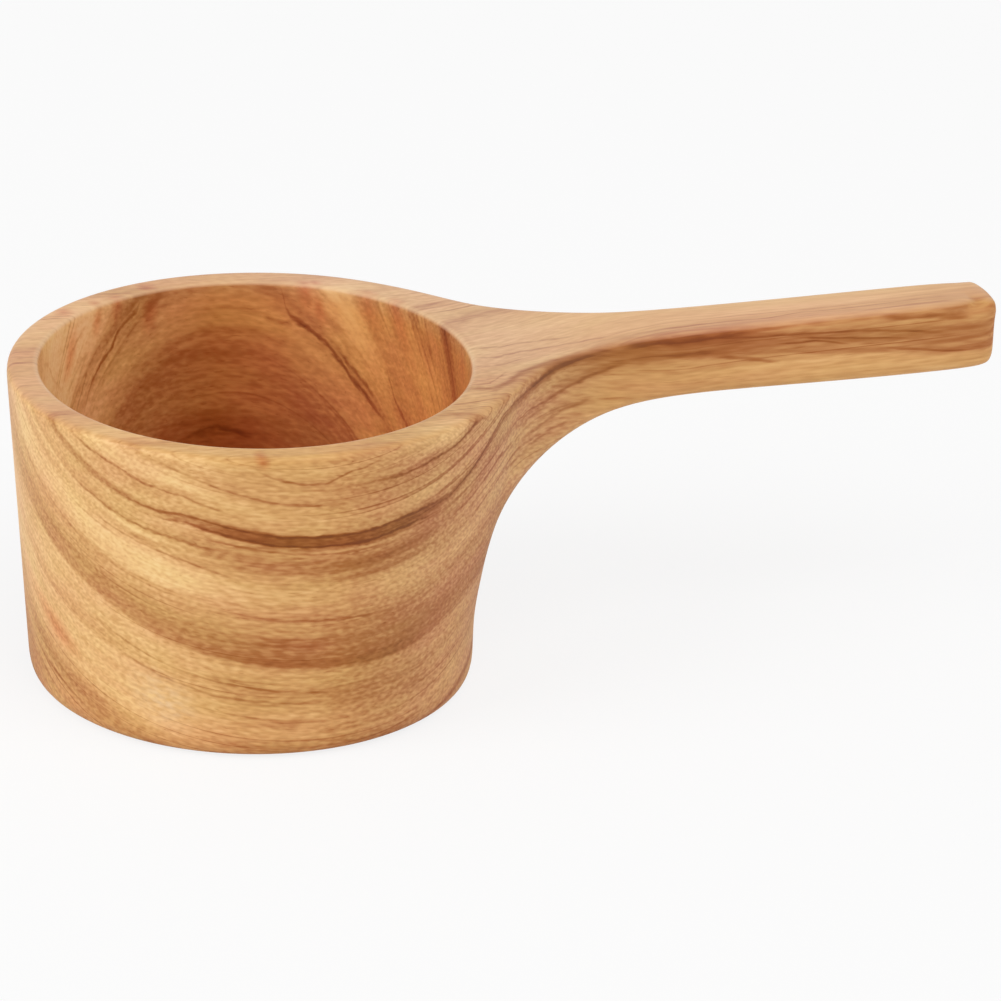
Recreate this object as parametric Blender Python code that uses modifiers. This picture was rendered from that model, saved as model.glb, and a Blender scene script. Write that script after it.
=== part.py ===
"""Coffee scoop carved from one block of teak: a tapered cup whose rim runs out into a straight handle.

The cup stands on the origin with its axis along Z, and the handle points along +X. The rim and the top of
the handle are one flat face. In plan the sides of the handle run into the cup on round flares, and below
it a long hollow sweep carries the underside of the handle down into the wall of the cup. All sizes are in
metres and are measured before the edges are eased.
"""
import math

import bmesh
import bpy

# Cup
CUP_HEIGHT = 0.0349
RIM_RADIUS = 0.0261
BASE_RADIUS = 0.0237
RIM_WALL = 0.0034
BOWL_CORNER_WALL = 0.0038
BOWL_CORNER_RADIUS = 0.0130
FLOOR_THICKNESS = 0.0045

# Handle, with lengths measured from the cup's rim
HANDLE_LENGTH = 0.05735
HANDLE_WIDTH = 0.0075
HANDLE_THICKNESS = 0.0081
END_ROUNDING = 0.0016
END_WIDTH = 0.0067
END_RISE = 0.0003
NECK_LENGTH = 0.0219
NECK_THICKNESS = 0.0073
FULL_LENGTH = 0.0400
FLARE_RADIUS = 0.0360

# Shoulders, where the wall thickens from this many degrees off the handle's line towards the handle
SHOULDER_SWELL = 0.0016
SHOULDER_ANGLE = 75

# Shallow hollow in the wall below the sweep, deepest on the handle's line
HOLLOW_HEIGHT = 0.0075
HOLLOW_DEPTH = 0.0006
HOLLOW_ANGLE = 60

# Hollow sweep under the handle, level at a length from the rim
SWEEP_FOOT_HEIGHT = 0.0120
SWEEP_LENGTH = 0.0179

# Eased edges
TOP_EDGE_RADIUS = 0.0009
MOUTH_EDGE_RADIUS = 0.0006
BASE_EDGE_RADIUS = 0.0017

# Cage that the smooth skin is drawn over. A rounding is this share of its holding loop's distance, and the
# loop stays within this share of the face that it lies on.
COLUMNS = 16
SWEEP_SECTIONS = 4
HANDLE_SECTIONS = 2
ROWS = 3
BOWL_CORNER_STEPS = 3
SKIN_LEVELS = 2
ROUNDING_SHARE = 0.57
HOLDING_LIMIT = 0.95
INNER_COLUMN_SHARE = 0.35
SHARP_ANGLE = 60
MERGE_DISTANCE = 1e-6

TEAK_COLOUR = (0.60, 0.34, 0.14, 1.0)
TEAK_ROUGHNESS = 0.45


def wall_radius(height):
    """Outer radius of the tapered cup at a height."""
    return BASE_RADIUS + (RIM_RADIUS - BASE_RADIUS) * height / CUP_HEIGHT


def half_width(distance, height):
    """Half of the plan width: the cup's circle, then a flare that touches it, then the handle's side."""
    cup = wall_radius(height)
    half = HANDLE_WIDTH / 2
    flare_end = math.sqrt((cup + FLARE_RADIUS) ** 2 - (half + FLARE_RADIUS) ** 2)
    flare_start = flare_end * cup / (cup + FLARE_RADIUS)
    if distance <= flare_start:
        return math.sqrt(cup ** 2 - distance ** 2)
    if distance < flare_end:
        return half + FLARE_RADIUS - math.sqrt(FLARE_RADIUS ** 2 - (flare_end - distance) ** 2)
    return half


def underside(distance):
    """Height of the handle's underside, which falls away from the neck to the full thickness."""
    past_neck = (distance - RIM_RADIUS - NECK_LENGTH) / (FULL_LENGTH - NECK_LENGTH)
    past_neck = min(max(past_neck, 0.0), 1.0)
    return CUP_HEIGHT - NECK_THICKNESS - (HANDLE_THICKNESS - NECK_THICKNESS) * past_neck


def holding_distance(radius, *rooms):
    """How far a holding loop lies from its edge, within the faces beside the edge."""
    return min(radius / ROUNDING_SHARE, HOLDING_LIMIT * min(rooms))


def cup_profile():
    """Half section of the cup as (radius, height): base, wall, rim, bowl, up to the middle of the floor."""
    points = [(0.0, 0.0), (BASE_RADIUS, 0.0), (wall_radius(HOLLOW_HEIGHT), HOLLOW_HEIGHT)]
    for row in range(ROWS + 1):
        height = SWEEP_FOOT_HEIGHT + (CUP_HEIGHT - SWEEP_FOOT_HEIGHT) * row / ROWS
        points.append((wall_radius(height), height))
    points.append((RIM_RADIUS - RIM_WALL, CUP_HEIGHT))
    corner_height = FLOOR_THICKNESS + BOWL_CORNER_RADIUS
    corner_radius = wall_radius(corner_height) - BOWL_CORNER_WALL
    for step in range(BOWL_CORNER_STEPS + 1):
        angle = math.pi / 2 * step / BOWL_CORNER_STEPS
        radius = corner_radius - BOWL_CORNER_RADIUS * (1 - math.cos(angle))
        points.append((radius, corner_height - BOWL_CORNER_RADIUS * math.sin(angle)))
    points.append((0.0, FLOOR_THICKNESS))
    return points


def spin_cup(mesh):
    """Turn the profile round the cup's axis, with no column of the cage on the handle's centre line."""
    half_column = math.pi / COLUMNS
    drawn_in = 2 / 3 + math.cos(2 * half_column) / 3
    profile = []
    for radius, height in cup_profile():
        cage_radius = radius / drawn_in
        place = (cage_radius * math.cos(half_column), cage_radius * math.sin(half_column), height)
        profile.append(mesh.verts.new(place))
    edges = [mesh.edges.new(pair) for pair in zip(profile, profile[1:])]
    bmesh.ops.spin(mesh, geom=profile + edges, cent=(0, 0, 0), axis=(0, 0, 1), angle=2 * math.pi,
                   steps=COLUMNS, use_merge=True)
    bmesh.ops.remove_doubles(mesh, verts=mesh.verts, dist=MERGE_DISTANCE)
    bmesh.ops.recalc_face_normals(mesh, faces=mesh.faces)


def facing_handle(vert, angle):
    """How far a point of the wall faces the handle: 1 on the handle's line, 0 from an angle away."""
    edge_cosine = math.cos(math.radians(angle))
    cosine = vert.co.x / vert.co.xy.length
    return max(0.0, (cosine - edge_cosine) / (1 - edge_cosine))


def shape_wall(mesh):
    """Thicken the wall towards the handle, from the foot of the sweep to the rim, and hollow it below."""
    for vert in mesh.verts:
        radius = vert.co.xy.length
        if radius < wall_radius(vert.co.z) - RIM_WALL / 2:
            continue
        up = (vert.co.z - SWEEP_FOOT_HEIGHT) / (CUP_HEIGHT - SWEEP_FOOT_HEIGHT)
        grown = SHOULDER_SWELL * facing_handle(vert, SHOULDER_ANGLE) * max(0.0, up)
        if abs(vert.co.z - HOLLOW_HEIGHT) < MERGE_DISTANCE:
            grown = -HOLLOW_DEPTH * facing_handle(vert, HOLLOW_ANGLE)
        vert.co.x *= 1 + grown / radius
        vert.co.y *= 1 + grown / radius


def handle_patch(mesh):
    """Faces of the cup's wall that the handle grows out of: three columns wide, from the sweep to the rim."""
    past_third_column = math.cos(2.5 * math.pi / COLUMNS)
    patch = []
    for face in mesh.faces:
        middle = face.calc_center_median()
        radius = middle.xy.length
        outside = face.normal.xy.dot(middle.xy) > radius * math.cos(math.radians(SHARP_ANGLE))
        in_front = middle.x > radius * past_third_column
        if outside and in_front and middle.z > SWEEP_FOOT_HEIGHT:
            patch.append(face)
    return patch


def sweep_point(column, row, share):
    """Distance and height of a cage point between the cup's wall, share 0, and the level handle, share 1.

    The lowest row follows a quarter of an ellipse from the wall's foot, and the top row stays level.
    """
    outward = math.cos(column * math.pi / COLUMNS)
    foot = wall_radius(SWEEP_FOOT_HEIGHT) * outward
    rim = RIM_RADIUS * outward
    level = RIM_RADIUS + SWEEP_LENGTH
    angle = share * math.pi / 2
    bottom = level - (level - foot) * math.cos(angle)
    bottom_height = SWEEP_FOOT_HEIGHT + (underside(bottom) - SWEEP_FOOT_HEIGHT) * math.sin(angle)
    top = rim + (level - rim) * share
    down = row / ROWS
    return top + (bottom - top) * down, CUP_HEIGHT + (bottom_height - CUP_HEIGHT) * down


def handle_point(row, distance):
    """Distance and height of a cage point on the level part of the handle."""
    return distance, CUP_HEIGHT + (underside(distance) - CUP_HEIGHT) * row / ROWS


def place_section(verts, columns, rows, share, distance):
    """Move one section of the cage to its place: on the sweep where it has no distance, else past it.

    The end face is narrower than the handle and its lower edge lies higher, so that its corners are round.
    """
    edge_column = max(vert[columns] for vert in verts)
    for vert in verts:
        if distance is None:
            along, height = sweep_point(vert[columns], vert[rows], share)
            side = half_width(*sweep_point(edge_column, vert[rows], share))
        else:
            along, height = handle_point(vert[rows], distance)
            side = half_width(along, height)
            if distance == RIM_RADIUS + HANDLE_LENGTH:
                side *= END_WIDTH / HANDLE_WIDTH
                height += END_RISE * vert[rows] / ROWS
        if abs(vert[columns]) < edge_column:
            side *= INNER_COLUMN_SHARE
        vert.co = (along, math.copysign(side, vert[columns]), height)


def pull_handle(mesh):
    """Pull the patch out of the cup's wall, section after section, to the end of the handle."""
    columns = mesh.verts.layers.int.new("column")
    rows = mesh.verts.layers.int.new("row")
    patch = handle_patch(mesh)
    for vert in {vert for face in patch for vert in face.verts}:
        vert[columns] = round(math.atan2(vert.co.y, vert.co.x) * COLUMNS / math.pi)
        vert[rows] = round((CUP_HEIGHT - vert.co.z) / (CUP_HEIGHT - SWEEP_FOOT_HEIGHT) * ROWS)
    stations = [(step / SWEEP_SECTIONS, None) for step in range(1, SWEEP_SECTIONS + 1)]
    last = HANDLE_LENGTH - END_ROUNDING / ROUNDING_SHARE
    for step in range(1, HANDLE_SECTIONS + 1):
        length = SWEEP_LENGTH + (last - SWEEP_LENGTH) * step / HANDLE_SECTIONS
        stations.append((1, RIM_RADIUS + length))
    stations.append((1, RIM_RADIUS + HANDLE_LENGTH))
    for share, distance in stations:
        pulled = bmesh.ops.extrude_face_region(mesh, geom=patch)["geom"]
        bmesh.ops.delete(mesh, geom=patch, context="FACES")
        patch = [item for item in pulled if isinstance(item, bmesh.types.BMFace)]
        section = [item for item in pulled if isinstance(item, bmesh.types.BMVert)]
        place_section(section, columns, rows, share, distance)


def ease_edges(mesh, height, distance, inside=0.0, outside=math.inf):
    """Put holding loops beside the sharp edges at one height, so that the skin rounds them."""
    edges = []
    for edge in mesh.edges:
        level = all(abs(vert.co.z - height) < MERGE_DISTANCE for vert in edge.verts)
        middle = (edge.verts[0].co + edge.verts[1].co) / 2
        within = inside < middle.xy.length < outside
        if level and within and edge.calc_face_angle() > math.radians(SHARP_ANGLE):
            edges.append(edge)
    bmesh.ops.bevel(mesh, geom=edges, offset=distance, segments=2, profile=1.0, affect="EDGES",
                    clamp_overlap=False, material=-1)


def ease_scoop(mesh):
    """Ease the outer top edge of cup and handle, the mouth of the bowl and the foot of the cup."""
    middle_of_rim = RIM_RADIUS - RIM_WALL / 2
    half_rim = RIM_WALL / 2
    handle_side = END_WIDTH / 2 * (1 - INNER_COLUMN_SHARE)
    handle_row = min(NECK_THICKNESS, HANDLE_THICKNESS) / ROWS
    handle_end = END_ROUNDING / ROUNDING_SHARE
    top = holding_distance(TOP_EDGE_RADIUS, half_rim, handle_side, handle_row, handle_end)
    mouth = holding_distance(MOUTH_EDGE_RADIUS, half_rim)
    foot = holding_distance(BASE_EDGE_RADIUS, HOLLOW_HEIGHT, BASE_RADIUS)
    ease_edges(mesh, CUP_HEIGHT, top, inside=middle_of_rim)
    ease_edges(mesh, CUP_HEIGHT, mouth, outside=middle_of_rim)
    ease_edges(mesh, 0.0, foot)


def teak():
    """Oiled teak."""
    material = bpy.data.materials.new("teak")
    material.use_nodes = True
    shader = material.node_tree.nodes["Principled BSDF"]
    shader.inputs["Base Color"].default_value = TEAK_COLOUR
    shader.inputs["Roughness"].default_value = TEAK_ROUGHNESS
    shader.inputs["Metallic"].default_value = 0.0
    return material


def build_scoop():
    """Model the scoop as a coarse cage under a smooth skin with eased edges."""
    cage = bmesh.new()
    spin_cup(cage)
    shape_wall(cage)
    pull_handle(cage)
    ease_scoop(cage)
    data = bpy.data.meshes.new("scoop_body")
    cage.to_mesh(data)
    cage.free()
    data.shade_smooth()
    data.materials.append(teak())
    scoop = bpy.data.objects.new("scoop_body", data)

    skin = scoop.modifiers.new("skin", "SUBSURF")
    skin.levels = SKIN_LEVELS
    skin.render_levels = SKIN_LEVELS
    return scoop


def main():
    for item in list(bpy.data.objects):
        bpy.data.objects.remove(item)
    collection = bpy.data.collections.new("coffee_scoop")
    bpy.context.scene.collection.children.link(collection)
    collection.objects.link(build_scoop())


main()
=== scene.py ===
"""Looks of a coffee scoop carved from one block of teak, shown on a pale floor in soft studio light.

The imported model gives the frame: metres, +Z up, the cup standing on the origin and the handle along +X.
"""
import math

import bmesh
import bpy
from mathutils import Matrix, Vector


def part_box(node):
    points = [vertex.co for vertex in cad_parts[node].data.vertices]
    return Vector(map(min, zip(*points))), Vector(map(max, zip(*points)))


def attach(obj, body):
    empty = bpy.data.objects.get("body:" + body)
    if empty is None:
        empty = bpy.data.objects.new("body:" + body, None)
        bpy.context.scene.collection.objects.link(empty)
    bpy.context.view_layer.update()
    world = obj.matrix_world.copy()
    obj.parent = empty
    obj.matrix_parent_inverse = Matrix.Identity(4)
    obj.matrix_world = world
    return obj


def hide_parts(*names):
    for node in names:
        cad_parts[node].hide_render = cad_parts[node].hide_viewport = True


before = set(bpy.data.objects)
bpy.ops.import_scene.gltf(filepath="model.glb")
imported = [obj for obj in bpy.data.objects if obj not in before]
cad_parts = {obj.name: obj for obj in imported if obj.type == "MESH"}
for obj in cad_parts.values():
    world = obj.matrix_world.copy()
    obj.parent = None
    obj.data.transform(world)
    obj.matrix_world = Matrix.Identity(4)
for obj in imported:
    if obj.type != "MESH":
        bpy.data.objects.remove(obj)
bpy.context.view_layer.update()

# Cup, in metres
CUP_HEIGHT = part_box("scoop_body")[1].z
RIM_RADIUS = 0.0261
BASE_RADIUS = 0.0237
RIM_WALL = 0.0034
BOWL_CORNER_WALL = 0.0038
BOWL_CORNER_RADIUS = 0.0130
FLOOR_THICKNESS = 0.0045

# Handle, with lengths measured from the cup's rim
HANDLE_LENGTH = 0.05735
HANDLE_WIDTH = 0.0075
HANDLE_THICKNESS = 0.0081
END_ROUNDING = 0.0016
END_WIDTH = 0.0067
END_RISE = 0.0003
NECK_LENGTH = 0.0219
NECK_THICKNESS = 0.0073
FULL_LENGTH = 0.0400
FLARE_RADIUS = 0.0360

# Shoulders, where the wall thickens from this many degrees off the handle's line towards the handle
SHOULDER_SWELL = 0.0016
SHOULDER_ANGLE = 75

# Shallow hollow in the wall below the sweep, deepest on the handle's line
HOLLOW_HEIGHT = 0.0075
HOLLOW_DEPTH = 0.0006
HOLLOW_ANGLE = 60

# Hollow sweep under the handle, level at a length from the rim
SWEEP_FOOT_HEIGHT = 0.0120
SWEEP_LENGTH = 0.0179

# Eased edges
TOP_EDGE_RADIUS = 0.0009
MOUTH_EDGE_RADIUS = 0.0006
BASE_EDGE_RADIUS = 0.0017

# Cage that the smooth skin is drawn over
COLUMNS = 16
SWEEP_SECTIONS = 4
HANDLE_SECTIONS = 2
ROWS = 3
BOWL_CORNER_STEPS = 3
SKIN_LEVELS = 3
ROUNDING_SHARE = 0.57
INNER_COLUMN_SHARE = 0.35
SHARP_ANGLE = 60
MERGE_DISTANCE = 1e-6

# Camera: where it stands round the cup's axis, the point that it aims at and its tilt to the side
CAMERA_PIVOT = Vector((0.0, 0.0, 0.020))
CAMERA_DISTANCE = 0.600
CAMERA_AZIMUTH = -16.5
CAMERA_ELEVATION = 23.675
CAMERA_AIM = Vector((0.02774, 0.0, 0.01584))
CAMERA_ROLL = 1.807
FOCAL_LENGTH_MM = 203.27

# Light
DOME_STRENGTH = 0.46
LAMP_DISTANCE = 1.6
# Each lamp: power in watts, width in metres, azimuth from the front and elevation in degrees
LAMPS = {"key": (11.0, 1.0, -78, 38), "top": (6.0, 1.2, 20, 60), "fill": (5.0, 1.0, 50, 16)}
WHITE = "FFFFFF"
FLOOR_SIDE = 8.0
# Just below the foot, so that the floor and the foot don't lie in the same plane
FLOOR_BELOW = 0.00002
PAPER = "F9F9F9"
PAPER_ROUGHNESS = 0.9
# The white that the floor shows by itself, to the camera alone, and its share against the lit paper
OWN_WHITE = "FDFDFD"
OWN_WHITE_SHARE = 0.84

# Growth rings of the teak, in millimetres: the pith runs past the scoop above and in front of it, and
# leans away from the handle as far as the handle's root, where the rings swing along the handle
MM_PER_M = 1000
PITH_Y = -46.3
PITH_Z = 74.8
PITH_LEAN_Y = -0.182
PITH_LEAN_Z = -0.083
ROOT_X = 25
ROOT_SOFTNESS = 8
SWING_FROM_X = 16
SWING_TO_X = 48
SWING = 7.5
RING_FIRST = 44
RING_LAST = 92
FIRST_X = -27
LAST_X = 84

# Three growth rings that waver along the block, as (x, radius), and the radius that each one stands for
UMBER_PATH = [
    (-27, 53.4), (-20, 53.6), (-17, 53.4), (-14, 52.9), (-10, 53.2), (-5, 53.7), (5, 54.1), (12, 53.9),
    (15, 54.1), (18, 53.7), (20, 53.1), (22, 52.3), (24, 52.9), (26, 53.9), (28, 54.3), (32, 54.3),
    (36, 54.1), (40, 53.9), (44, 53.4), (50, 53.4), (55, 53.7), (62, 53.8), (70, 54.1), (84, 54.6),
]
RUST_PATH = [
    (-27, 57.0), (5, 57.3), (12, 57.2), (15, 57.0), (18, 56.2), (20, 55.2), (22, 54.7), (24, 55.4),
    (26, 56.5), (28, 56.6), (30, 56.1), (34, 55.4), (38, 54.8), (43, 54.3), (47, 54.1), (52, 54.6),
    (60, 55.4), (70, 56.0), (84, 57.0),
]
RUSSET_PATH = [
    (-27, 66.0), (-20, 66.5), (-15, 67.3), (-10, 67.6), (0, 67.9), (5, 68.2), (20, 68.6), (26, 70.0),
    (32, 69.0), (40, 66.0), (50, 65.0), (84, 67.0),
]
UMBER = 54.0
RUST = 57.3
RUSSET = 68.0

# How dark the wood is at a ring, from 0, the palest early wood, to 1, the darkest late wood. The rings
# change along the block, so it is given at stations of x, each blended into the next between two values
# of x, once for the near side of the block and once for the far side
LEFT_RINGS = [
    (44.0, 0.12), (48.3, 0.08), (49.1, 0.34), (49.6, 0.14), (50.9, 0.02), (51.5, 0.18), (53.4, 0.20),
    (53.9, 0.44), (54.3, 0.40), (54.7, 0.20), (55.4, 0.14), (56.3, 0.30), (56.9, 0.04), (57.7, 0.20),
    (59.2, 0.02), (61.5, 0.04), (62.2, 0.22), (63.5, 0.28), (65.3, 0.38), (67.6, 0.42), (68.1, 0.16),
    (70.3, 0.10), (72.4, 0.26), (73.0, 0.14), (77.5, 0.10), (79.0, 0.24), (80.8, 0.50), (82.0, 0.34),
    (92.0, 0.50),
]
MIDDLE_RINGS = [
    (44.0, 0.42), (46.2, 0.28), (48.2, 0.36), (48.9, 0.27), (49.8, 0.42), (51.0, 0.22), (52.6, 0.26),
    (53.0, 0.34), (53.4, 0.84), (54.3, 0.90), (54.7, 0.44), (55.2, 0.34), (56.0, 0.44), (56.6, 0.60),
    (57.3, 0.58), (57.9, 0.32), (61.5, 0.28), (62.6, 0.42), (63.3, 0.34), (64.5, 0.50), (66.5, 0.60),
    (67.8, 0.74), (68.2, 0.38), (68.7, 0.28), (70.8, 0.42), (72.0, 0.38), (73.3, 0.28), (76.0, 0.28),
    (77.7, 0.52), (92.0, 0.80),
]
RIGHT_RINGS = [
    (44.0, 0.54), (47.0, 0.38), (48.6, 0.54), (50.2, 0.52), (50.8, 0.40), (52.6, 0.42), (52.9, 0.48),
    (53.3, 0.88), (54.3, 0.94), (54.8, 0.52), (55.4, 0.45), (56.0, 0.55), (56.6, 0.82), (57.3, 0.62),
    (58.3, 0.45), (59.1, 0.35), (61.5, 0.42), (63.5, 0.60), (64.2, 0.56), (65.0, 0.74), (65.6, 0.66),
    (67.8, 0.86), (68.2, 0.54), (68.7, 0.44), (70.8, 0.58), (72.2, 0.62), (73.5, 0.48), (76.0, 0.46),
    (77.1, 0.62), (92.0, 0.80),
]
ROOT_RINGS = [
    (44.0, 0.30), (48.3, 0.24), (49.1, 0.66), (49.5, 0.45), (50.8, 0.40), (52.6, 0.42), (53.4, 0.50),
    (54.0, 0.86), (54.5, 0.56), (55.2, 0.46), (56.7, 0.54), (57.4, 0.58), (58.2, 0.40), (58.7, 0.50),
    (60.0, 0.40), (61.3, 0.38), (63.5, 0.54), (65.0, 0.60), (67.7, 0.70), (68.2, 0.48), (70.0, 0.46),
    (72.4, 0.50), (74.7, 0.40), (77.0, 0.42), (78.0, 0.50), (78.4, 0.84), (79.0, 0.45), (92.0, 0.45),
]
HANDLE_RINGS = [
    (44.0, 0.30), (53.0, 0.50), (53.6, 0.76), (54.3, 0.84), (55.0, 0.78), (55.8, 0.66), (56.6, 0.68),
    (57.0, 0.76), (57.4, 0.72), (57.9, 0.44), (58.6, 0.36), (60.0, 0.36), (61.0, 0.25), (64.0, 0.30),
    (65.5, 0.50), (68.0, 0.25), (92.0, 0.30),
]
END_RINGS = [
    (44.0, 0.30), (52.6, 0.42), (53.1, 0.60), (53.6, 0.40), (54.1, 0.54), (55.3, 0.62), (56.1, 0.50),
    (56.6, 0.60), (57.0, 0.54), (57.4, 0.32), (58.4, 0.29), (60.0, 0.28), (66.0, 0.34), (92.0, 0.30),
]
FAR_LEFT_RINGS = [
    (44.0, 0.20), (56.0, 0.30), (62.0, 0.20), (68.2, 0.28), (69.5, 0.16), (71.5, 0.00), (73.8, 0.10),
    (75.3, 0.00), (77.3, 0.10), (78.2, 0.38), (78.7, 0.24), (79.2, 0.40), (80.2, 0.14), (82.0, 0.24),
    (84.3, 0.55), (92.0, 0.70),
]
FAR_MIDDLE_RINGS = [
    (44.0, 0.30), (70.0, 0.35), (79.2, 0.64), (80.6, 0.46), (82.0, 0.56), (83.3, 0.74), (84.8, 0.71),
    (86.2, 0.62), (87.1, 0.82), (88.2, 0.88), (92.0, 0.74),
]
FAR_RIGHT_RINGS = [
    (44.0, 0.30), (70.0, 0.30), (74.5, 0.27), (76.1, 0.22), (76.8, 0.06), (77.8, 0.18), (78.9, 0.34),
    (79.5, 0.60), (79.9, 0.54), (80.7, 0.38), (82.2, 0.52), (83.5, 0.70), (85.5, 0.80), (92.0, 0.85),
]
FAR_ROOT_RINGS = [
    (44.0, 0.30), (58.0, 0.24), (61.0, 0.34), (61.8, 0.22), (63.0, 0.38), (64.5, 0.50), (65.3, 0.90),
    (65.9, 0.90), (66.4, 0.56), (67.2, 0.44), (69.8, 0.33), (72.3, 0.34), (73.6, 0.40), (75.4, 0.40),
    (76.2, 0.54), (78.3, 0.50), (79.2, 0.70), (80.0, 0.50), (92.0, 0.60),
]
NEAR_STATIONS = [
    (LEFT_RINGS, None), (MIDDLE_RINGS, (-17, -5)), (RIGHT_RINGS, (-2, 6)), (ROOT_RINGS, (9, 15)),
    (HANDLE_RINGS, (30, 39)), (END_RINGS, (50, 60)),
]
FAR_STATIONS = [
    (FAR_LEFT_RINGS, None), (FAR_MIDDLE_RINGS, (-15, -5)), (FAR_RIGHT_RINGS, (5, 13)),
    (FAR_ROOT_RINGS, (15, 20)), (HANDLE_RINGS, (30, 39)), (END_RINGS, (50, 60)),
]
NEAR_Y = -4
FAR_Y = 6

# Single fine growth lines on the near side, on the far side and on the flat top: how dark each one is,
# and points (x, ring) along it from left to right
NEAR_LINES = [
    (1.0, [(-22.0, 54.2), (-15.8, 54.1), (-12.3, 53.6), (-4.6, 53.4), (3.9, 53.2), (8.5, 53.2),
           (13.4, 53.6), (17.5, 53.8)]),
    (1.0, [(-19.0, 54.9), (-12.3, 54.4), (-4.5, 54.4), (3.9, 54.3), (8.5, 54.3), (13.5, 54.8),
           (16.0, 54.9)]),
    (0.8, [(-7.5, 46.5), (-6.0, 47.2), (-3.0, 47.7), (0.0, 47.7), (2.5, 46.8), (6.5, 46.0)]),
    (0.6, [(-18.0, 49.0), (-13.0, 49.6), (-8.0, 49.8), (-3.0, 49.9), (4.0, 49.9)]),
    (0.9, [(5.0, 48.2), (9.0, 48.7), (11.8, 48.9), (15.6, 49.0), (17.7, 49.1), (18.9, 49.8),
           (20.5, 51.8)]),
    (0.8, [(-25.0, 52.6), (-20.0, 51.6), (-15.0, 51.8), (-8.0, 52.2)]),
    (0.7, [(-24.0, 56.6), (-17.0, 56.3), (-10.0, 56.2)]),
    (0.7, [(-22.0, 58.3), (-14.0, 58.0), (-8.0, 58.6)]),
    (0.6, [(-10.0, 62.4), (0.0, 62.7), (8.0, 62.8)]),
    (0.6, [(-22.0, 70.8), (-8.0, 70.6), (4.0, 70.9)]),
    (0.5, [(-20.0, 72.3), (-10.0, 72.2), (2.0, 72.0)]),
    (0.7, [(-14.0, 55.3), (-6.0, 55.1), (2.0, 55.3), (8.0, 55.2)]),
    (0.8, [(12.0, 54.0), (18.0, 53.9), (22.4, 53.5), (26.8, 53.8), (33.0, 53.9), (40.0, 53.9)]),
    (0.8, [(15.0, 57.0), (18.9, 58.1), (20.3, 58.4), (25.0, 58.6)]),
    (0.6, [(18.0, 60.2), (21.0, 60.4), (24.5, 60.6), (26.5, 60.0)]),
    (0.7, [(22.3, 58.5), (23.9, 57.3), (25.1, 56.8), (26.8, 56.7), (29.3, 57.5), (34.0, 57.6),
           (41.0, 57.4)]),
    (0.5, [(27.0, 58.9), (31.4, 59.0), (36.0, 59.2)]),
    (0.5, [(27.0, 59.8), (30.2, 59.9), (33.0, 60.0)]),
    (0.7, [(38.0, 53.9), (46.0, 54.0), (55.0, 53.9)]),
    (0.5, [(40.0, 57.1), (46.1, 57.4), (51.0, 57.3)]),
    (0.7, [(50.5, 57.6), (54.0, 57.7), (58.0, 57.9)]),
    (0.8, [(52.0, 54.0), (60.0, 54.1), (69.0, 54.1), (77.0, 54.7)]),
    (0.7, [(57.0, 55.5), (62.0, 55.2), (66.0, 55.9)]),
    (0.7, [(59.0, 54.6), (65.0, 55.0), (73.0, 55.3)]),
    (0.8, [(69.0, 53.2), (75.0, 53.3), (77.5, 53.5), (80.0, 53.4)]),
    (0.7, [(70.0, 56.5), (76.5, 56.9), (81.0, 57.0)]),
]
FAR_LINES = [
    (1.2, [(8.8, 78.8), (9.6, 80.1), (11.3, 80.0), (13.3, 79.8), (15.5, 80.0), (17.1, 79.7),
           (18.5, 79.3)]),
    (0.8, [(14.2, 79.5), (15.8, 79.4), (17.6, 79.0)]),
    (1.2, [(-14.5, 80.2), (-13.4, 79.4), (-12.0, 79.1), (-10.3, 79.3), (-9.5, 78.9), (-7.1, 79.1),
           (-6.3, 78.6)]),
    (0.7, [(-15.5, 79.0), (-14.5, 78.6), (-13.5, 78.1)]),
    (0.6, [(-18.0, 75.6), (-16.5, 75.2), (-15.0, 75.2), (-13.5, 75.8)]),
    (0.5, [(-20.6, 69.2), (-19.6, 71.0), (-18.6, 73.4), (-17.2, 75.9)]),
    (0.7, [(18.3, 76.0), (18.8, 77.0), (19.6, 76.8), (20.4, 76.4)]),
    (0.9, [(20.5, 66.3), (22.2, 65.6), (24.0, 65.3)]),
    (0.5, [(12.8, 83.3), (14.3, 83.3), (16.0, 83.5)]),
    (0.6, [(7.0, 80.9), (8.8, 80.8), (10.2, 80.2)]),
    (1.0, [(-1.5, 88.0), (2.0, 87.7), (6.0, 88.0)]),
]
TOP_LINES = [
    (0.7, [(22.0, 61.8), (24.0, 60.8), (26.2, 59.6), (30.3, 59.3), (35.0, 59.0)]),
    (0.8, [(21.5, 60.5), (23.2, 59.7), (25.3, 58.4), (27.2, 58.1), (34.3, 57.9), (39.0, 57.8)]),
    (0.6, [(20.8, 59.4), (22.2, 58.7), (24.0, 57.9), (25.9, 57.0), (29.0, 56.5)]),
    (0.5, [(18.5, 54.6), (20.1, 55.0), (22.1, 55.5), (25.0, 56.0)]),
    (0.8, [(41.0, 57.4), (49.2, 57.4), (53.7, 56.2), (57.0, 55.4), (61.0, 56.1), (65.4, 55.4),
           (75.0, 55.4), (80.5, 55.0)]),
    (0.6, [(66.0, 53.7), (72.0, 53.9), (79.0, 53.8)]),
]
LINE_HALF_WIDTH = 0.24
LINE_FADE_SHARE = 0.18

# Noise in the wood is given by its sizes in millimetres along, across and around the rings and by its
# lowest and highest level. A span is the part of the raw noise that is spread over the levels.
USUAL_SPAN = (0.3, 0.7)

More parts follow.
